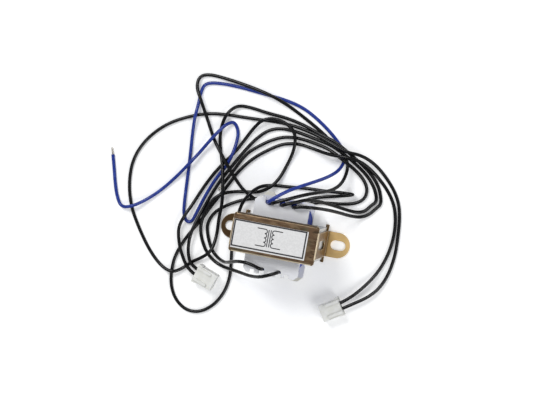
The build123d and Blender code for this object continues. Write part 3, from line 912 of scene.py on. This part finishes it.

# %% [markdown]
# ## The short pair to the left housing
# The first of this pair comes from the far side's middle slot, turns back behind the core and runs
# down the left side. Its end could stop at the housing's back, but then a gap would show there. So
# the route runs on into a cavity.

# %% First left lead
LEFT_PLUG = (-35.2, -22.8, -19.0)
left_lead_a_route = (
    (5.9, 16.3, 27), (10.2, 18.3, 23.8), (14.9, 17.9, 17), (19.4, 17.1, 10.4), (24.1, 16.1, 5),
    (28.7, 15.5, 1.6), (32.3, 16.6, 0.8), (34.4, 19.6, 0.8), (36.4, 21.5, 0.8), (35.7, 24.7, 0.8),
    (33.7, 28.4, 1.2), (30.6, 32, 2.8), (25.7, 35.6, 4), (20, 39, 4.6), (13.1, 42.1, 3.6),
    (6.5, 43.3, 1.6), (-1, 44.8, 0.8), (-6.4, 45.4, 0.8), (-11.5, 45.1, 0.8), (-15.8, 43.2, 0.8),
    (-19.6, 39.4, 0.8), (-22.8, 34.9, 0.8), (-25.6, 30.3, 0.8), (-28.3, 25.5, 0.8),
    (-31.5, 19.9, 0.8), (-34.5, 13.3, 0.8), (-37, 6.4, 0.8), (-38.9, 0.4, 1.9), (-40.5, -5.2, 3.2),
    (-41, -10.4, 2.7), (-40.5, -15.2, 2.6),
)


def lay_plug_lead(name, start, route, end, length):
    """A black lead from a slot of the flange into a cavity of a housing."""
    points = [*start, *route, *end]
    lay_lead(name, points, black_vinyl, length)


lay_plug_lead(
    "left_lead_a", lead_exit(x=0.0, side=FAR), left_lead_a_route,
    plug_entry(LEFT_PLUG, side=1), length=0.192,
)

# %% [markdown]
# ### Its neighbour
# The second of the pair comes from the near side's right slot, loops once behind the core and joins
# the first one on the left. Two leads could share one route with a shift, but real ones part and
# cross, so each has points of its own.

# %% Second left lead
left_lead_b_route = (
    (-0.1, -15.7, 27.6), (-4.1, -17.4, 25.6), (-9, -18.3, 19), (-14.6, -18.4, 11), (-20, -18.4, 5),
    (-24.5, -18.2, 1.8), (-28.6, -16.8, 0.8), (-32.3, -14, 0.8), (-34.9, -10.2, 0.8),
    (-36.9, -5.7, 0.8), (-37.1, -1.1, 2.5), (-36.3, 3.3, 2.7), (-34.9, 7.4, 2.7),
    (-32.7, 11.1, 2.8), (-29.2, 13.5, 2.4), (-24.6, 15, 0.8), (-19.6, 15.7, 0.8),
    (-14.3, 16.5, 0.8), (-9.4, 19.6, 3.2), (-6.6, 24, 1.6), (-4.8, 29.3, 0.8), (-3.1, 34.7, 1.2),
    (-2.2, 40.1, 3.3), (-3.5, 45.1, 3.3), (-7.9, 48.1, 2.9), (-13.4, 49.1, 2.7), (-18.2, 47.7, 3.3),
    (-21.8, 43.4, 1.2), (-24.7, 37.9, 0.8), (-27.9, 31.8, 0.8), (-32.8, 25.4, 0.8),
    (-36.7, 19.1, 0.8), (-39.9, 12.4, 0.8), (-42.5, 5.9, 1.4), (-44.8, 0.6, 3.2), (-46.8, -4.7, 2),
    (-45.7, -9.7, 2.9), (-44, -14.8, 2.4),
)
lay_plug_lead(
    "left_lead_b", lead_exit(x=3.4, side=NEAR), left_lead_b_route,
    plug_entry(LEFT_PLUG, side=-1), length=0.233,
)

# %% [markdown]
# ## The long pair to the right housing
# The other pair is the longest: both make wide loops on the left before they run down the right
# side to their housing. The first one makes the widest loop, which lies flat on the paper, so its
# points lie far apart there and the spline rounds it.

# %% First right lead
RIGHT_PLUG = (29.7, -25.0, 213.0)
right_lead_a_route = (
    (8.7, 14.9, 27.4), (13.2, 15.3, 26.6), (17.9, 15.3, 20.5), (22.6, 14.6, 12), (27.2, 13.7, 5),
    (31.1, 13.8, 1.3), (34.4, 15.7, 0.8), (36.7, 18.7, 0.8), (38.5, 20.8, 0.8), (37.8, 24.4, 0.8),
    (35.8, 28.8, 1.2), (32, 33.1, 2.8), (26.7, 37, 3.9), (20.8, 40.5, 4.6), (14.5, 43.9, 3.7),
    (7.5, 45.8, 2.4), (-0.3, 48.5, 1), (-8.2, 50.2, 0.8), (-16.7, 50.8, 0.8), (-24.5, 52, 0.8),
    (-30.5, 51.9, 1.2), (-33.9, 48.1, 3.2), (-35.9, 42.7, 1), (-35.8, 36.6, 0.8),
    (-34.3, 30.7, 0.8), (-32.1, 25.3, 2.8), (-29.5, 14.1, 4.9), (-29.2, 8, 3.5), (-29.9, 1.8, 1.4),
    (-29.6, -4.4, 0.8), (-29.8, -9.7, 2.4), (-30.9, -13.1, 3.4), (-34.1, -16, 2.2),
    (-38.4, -18.7, 0.8), (-42.1, -22.5, 0.8), (-46.1, -24.9, 3.1), (-51.8, -23, 1.4),
    (-58.1, -17.3, 0.8), (-64.4, -8.7, 0.8), (-69.7, 0.2, 0.8), (-72.5, 10.4, 0.8),
    (-72.5, 20.9, 0.8), (-68.2, 30.4, 0.8), (-60.5, 38.4, 0.8), (-51.4, 43.3, 0.8),
    (-43.1, 46.2, 0.8), (-34.4, 47.2, 0.8), (-25.9, 47.2, 0.8), (-10.9, 47.9, 0.8),
    (-2.7, 47.2, 1.2), (5.9, 45.4, 3.6), (13.3, 42.8, 5.8), (20.5, 40.2, 6.9), (26.9, 40.2, 6.4),
    (33.6, 37.3, 3.8), (40.1, 31.3, 1), (44.8, 25.2, 0.8), (47.2, 18.7, 0.8), (48.2, 9.3, 0.8),
    (48.4, -1.1, 0.8), (46.3, -11.1, 1), (41.8, -18.2, 2.2),
)
lay_plug_lead(
    "right_lead_a", lead_exit(x=5.0, side=FAR), right_lead_a_route,
    plug_entry(RIGHT_PLUG, side=1), length=0.476,
)

# %% [markdown]
# ### Its neighbour
# The second one has a tight fold behind the core, which the photograph shows as two strands lying
# together. A flat hairpin would be too wide for that, so there the points stand close, one above
# the other.

# %% Second right lead
right_lead_b_route = (
    (-7.3, -12.7, 27.6), (-11, -12.2, 27.2), (-14.6, -12.6, 25), (-18.6, -14.1, 17.5),
    (-22.3, -15.6, 9.5), (-26.7, -15, 3), (-31.1, -11.8, 0.8), (-34.6, -3.5, 0.8), (-34.1, 1, 0.8),
    (-31.8, 5, 0.8), (-28.3, 7.8, 0.8), (-23.6, 10.7, 0.8), (-18.6, 12.8, 0.8), (-12.8, 14, 0.8),
    (-6.5, 13.6, 0.8), (-0.2, 13.8, 0.8), (4.7, 15.9, 0.8), (9.1, 18.3, 0.8), (14, 19.6, 0.8),
    (18.6, 20.7, 0.8), (22.4, 21.7, 0.8), (26.1, 22.7, 0.8), (26, 23, 4.6), (22.4, 22.9, 4.4),
    (18.6, 22.6, 3.6), (13, 22.1, 2.2), (6.3, 21.9, 0.8), (-1.6, 21.1, 0.8), (-8.6, 20.6, 0.8),
    (-13.8, 19.5, 0.8), (-16.7, 16.8, 4.6), (-19.2, 13.1, 5), (-21.1, 8.9, 3), (-21.7, 3.4, 2.2),
    (-21.8, -2.9, 2.1), (-22, -9.1, 1.7), (-21.2, -15.9, 0.8), (-20.6, -21.8, 0.8),
    (-21.7, -28.8, 0.8), (-25.2, -35.3, 0.8), (-30.8, -39.8, 0.8), (-37, -40.3, 0.8),
    (-42.4, -36.9, 0.8), (-45.7, -31.3, 0.8), (-46.8, -25, 0.8), (-46.5, -18.2, 0.8),
    (-44.2, -11.6, 0.8), (-41, -5.4, 0.8), (-37.3, 0.4, 0.8), (-34.5, 6.5, 0.8), (-28.2, 17.6, 0.8),
    (-25.4, 23.4, 0.8), (-19.8, 30.6, 0.8), (-11.9, 36.6, 0.8), (-7.1, 39.2, 0.8), (-1, 40.2, 0.8),
    (5.9, 39.1, 1.4), (13.1, 37.9, 4.7), (19.7, 38.1, 6.9), (25.8, 37.9, 6.6), (31.4, 35.3, 4.2),
    (37.5, 30.2, 1.2), (42.4, 24.6, 0.8), (45.2, 18.8, 0.8), (46.5, 10.8, 0.8), (45.8, 1.5, 0.8),
    (43, -7.1, 1), (38.7, -14.2, 2.2),
)
lay_plug_lead(
    "right_lead_b", lead_exit(x=-3.7, side=NEAR), right_lead_b_route,
    plug_entry(RIGHT_PLUG, side=-1), length=0.450,
)

# %% [markdown]
# ## The label's print
# The label has a black border and in the middle a plain coil symbol. The print could be a picture
# on the label, but flat strokes of mesh, lying a hundredth of a millimetre over the paper, stay
# sharp at any distance. It sits a little off the middle, because such labels are cut after
# printing.

# %% A piece of print
label_low, label_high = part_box("rating_label")
PRINT_OFFSET = Vector((-0.2, 0.24, 0.0)) * MM


def printed(name):
    """An empty piece of print, and the form to draw its strokes in."""
    mesh = bpy.data.meshes.new(name)
    mesh.materials.append(label_ink)
    piece = put(name, mesh)
    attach(piece, "root")
    return piece, bmesh.new()


def done(piece, form):
    """Turns the strokes face up and puts them into the piece."""
    bmesh.ops.recalc_face_normals(form, faces=form.faces)
    for face in form.faces:
        if face.normal.z < 0:
            face.normal_flip()
    form.to_mesh(piece.data)
    form.free()
    print(piece.name, len(piece.data.polygons), "faces")


print("label size in mm", size_in_mm(label_low, label_high))

# %% [markdown]
# ### A stroke
# A stroke is a flat ribbon of even width along a row of points. A curve with a flat bevel could
# draw it, but its corners would pinch. Here each corner gets a mitre: its two points lie on the
# line that halves the angle, a little further out, and a limit keeps sharp turns from running to a
# spike.

# %% The stroke helper
PRINT_LIFT = 0.01 * MM
MITRE_LIMIT = 1.5
LEAST_MITRE = 0.1


def stroke(form, points, line, closed=False):
    """A flat line of even width through the points, lying just over the label."""
    z = label_high.z + PRINT_LIFT
    points = [Vector(point) for point in points]
    count = len(points)
    runs = [(points[(index + 1) % count] - points[index]).normalized() for index in range(count)]
    sides = []
    for index, point in enumerate(points):
        before = runs[index - 1] if closed or index > 0 else runs[index]
        after = runs[index] if closed or index < count - 1 else before
        along = (before + after).normalized()
        reach = line / 2 * min(MITRE_LIMIT, 1.0 / max(LEAST_MITRE, along.dot(before)))
        across = Vector((-along.y, along.x)) * reach
        sides.append([form.verts.new((*corner, z)) for corner in (point + across, point - across)])
    for index in range(count if closed else count - 1):
        here, there = sides[index], sides[(index + 1) % count]
        form.faces.new((here[0], here[1], there[1], there[0]))


print("print lies", round(label_high.z / MM, 2), "mm up")

# %% [markdown]
# ### Border
# The border is a black line, set in from the label's edge by a narrow margin. Four bars would
# overlap at the corners, so it is one closed stroke.

# %% Printed border
BORDER_INSET = 0.3 * MM
BORDER_LINE = 0.62 * MM


def print_border():
    piece, form = printed("label_border")
    inset = BORDER_INSET + BORDER_LINE / 2
    low, high = label_low + PRINT_OFFSET, label_high + PRINT_OFFSET
    left, right = low.x + inset, high.x - inset
    near, far = low.y + inset, high.y - inset
    corners = [(left, near), (right, near), (right, far), (left, far)]
    stroke(form, corners, BORDER_LINE, closed=True)
    done(piece, form)


print_border()

# %% [markdown]
# ### Coil symbol
# A transformer's sign is two rows of half circles with two bars between them. Each row could be
# four arcs, but as one stroke its turns join cleanly, and its two ends run out as the coil's
# connections.

# %% Printed symbol
SYMBOL_LINE = 0.42 * MM
COIL_RADIUS = 0.9 * MM
COIL_TURNS = 4
COIL_STEPS = 12
COIL_GAP = 2.0 * MM
CORE_GAP = 0.45 * MM
TERMINAL_REACH = 3.4 * MM


def half_circle(x, y, side):
    """The points of one turn of the symbol's coil, from its top to its foot."""
    angles = [math.pi * (0.5 - step / COIL_STEPS) for step in range(COIL_STEPS + 1)]
    return [
        (x - side * COIL_RADIUS * math.cos(angle), y + COIL_RADIUS * math.sin(angle))
        for angle in angles
    ]


def print_symbol():
    piece, form = printed("label_symbol")
    middle = (label_low + label_high) / 2 + PRINT_OFFSET
    height = COIL_RADIUS * 2 * COIL_TURNS
    for side in (-1, 1):
        x = middle.x + side * COIL_GAP
        path = [(x + side * TERMINAL_REACH, middle.y + height / 2)]
        for turn in range(COIL_TURNS):
            path += half_circle(x, middle.y + height / 2 - COIL_RADIUS * (2 * turn + 1), side)
        path.append((x + side * TERMINAL_REACH, middle.y - height / 2))
        stroke(form, path, SYMBOL_LINE)
        bar = middle.x + side * CORE_GAP
        stroke(form, [(bar, middle.y - height / 2), (bar, middle.y + height / 2)], SYMBOL_LINE)
    done(piece, form)


print_symbol()
